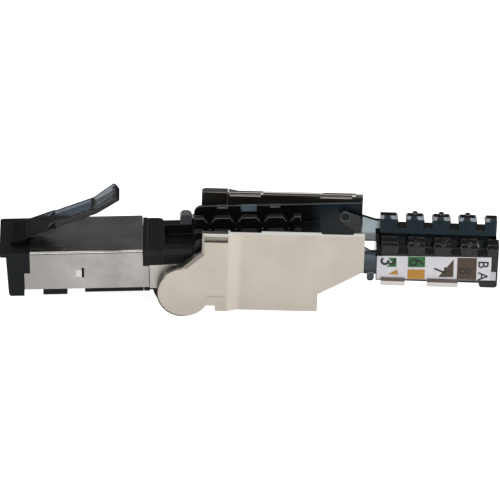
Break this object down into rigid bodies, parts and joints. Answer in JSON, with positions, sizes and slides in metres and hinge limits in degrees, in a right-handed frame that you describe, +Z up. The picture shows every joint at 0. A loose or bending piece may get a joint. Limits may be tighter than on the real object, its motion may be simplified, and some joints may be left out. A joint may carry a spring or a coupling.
{
  "type": "field termination ethernet plug",
  "caption": "Shielded modular data plug, opened for wiring, with a hinged cast rear housing, slotted terminal block and fold-over wire cap.",
  "frame": {"origin": "on the surface that the open plug stands on, below the middle of its bounding box", "axes": "+X from the plug's nose to the open wire cap, +Y across the plug, +Z up"},
  "size_m": [0.0766, 0.0158, 0.0185],
  "materials": {
    "black_plastic": "satin moulding",
    "smoky_plastic": "smoky, slightly see-through",
    "sleeve_steel": "bright rolled steel",
    "cast_metal": "nickel-plated zinc casting",
    "cheek_metal": "bright plate",
    "contact_metal": "gold-plated",
    "board_laminate": "glass laminate",
    "label_film": "printed film"
  },
  "bodies": {
    "plug": {"plug_nose": "black_plastic", "front_shield": "sleeve_steel", "circuit_board": "board_laminate", "rear_body": "black_plastic", "cap_catch": "smoky_plastic", "hinge_plate_far": "cheek_metal", "hinge_plate_near": "cheek_metal", "terminal_block": "black_plastic", "contact_1": "contact_metal", "contact_2": "contact_metal", "contact_3": "contact_metal", "contact_4": "contact_metal", "contact_5": "contact_metal", "contact_6": "contact_metal", "contact_7": "contact_metal", "contact_8": "contact_metal", "terminal_blade_1": "contact_metal", "terminal_blade_2": "contact_metal", "terminal_blade_3": "contact_metal", "terminal_blade_4": "contact_metal", "terminal_blade_5": "contact_metal", "terminal_blade_6": "contact_metal", "terminal_blade_7": "contact_metal", "terminal_blade_8": "contact_metal"},
    "latch": {"latch": "smoky_plastic"},
    "housing": {"rear_housing": "cast_metal"},
    "wire_cap": {"wire_cap": "smoky_plastic", "cap_shield": "sleeve_steel", "wiring_label": "label_film"}
  },
  "joints": [
    {"name": "latch_flex", "type": "hinge", "parent": "plug", "child": "latch", "pos_m": [-0.03603, 0, 0.01065], "axis": [0, 1, 0], "range_deg": [0, 12], "stiffness_Nm_per_rad": 0.02},
    {"name": "housing_hinge", "type": "hinge", "parent": "plug", "child": "housing", "pos_m": [-0.01027, 0, 0.00406], "axis": [0, 1, 0], "range_deg": [-2.96, 35]},
    {"name": "cap_hinge", "type": "hinge", "parent": "plug", "child": "wire_cap", "pos_m": [0.01487, 0, 0.0102], "axis": [0, -1, 0], "range_deg": [0, 183.4]}
  ]
}
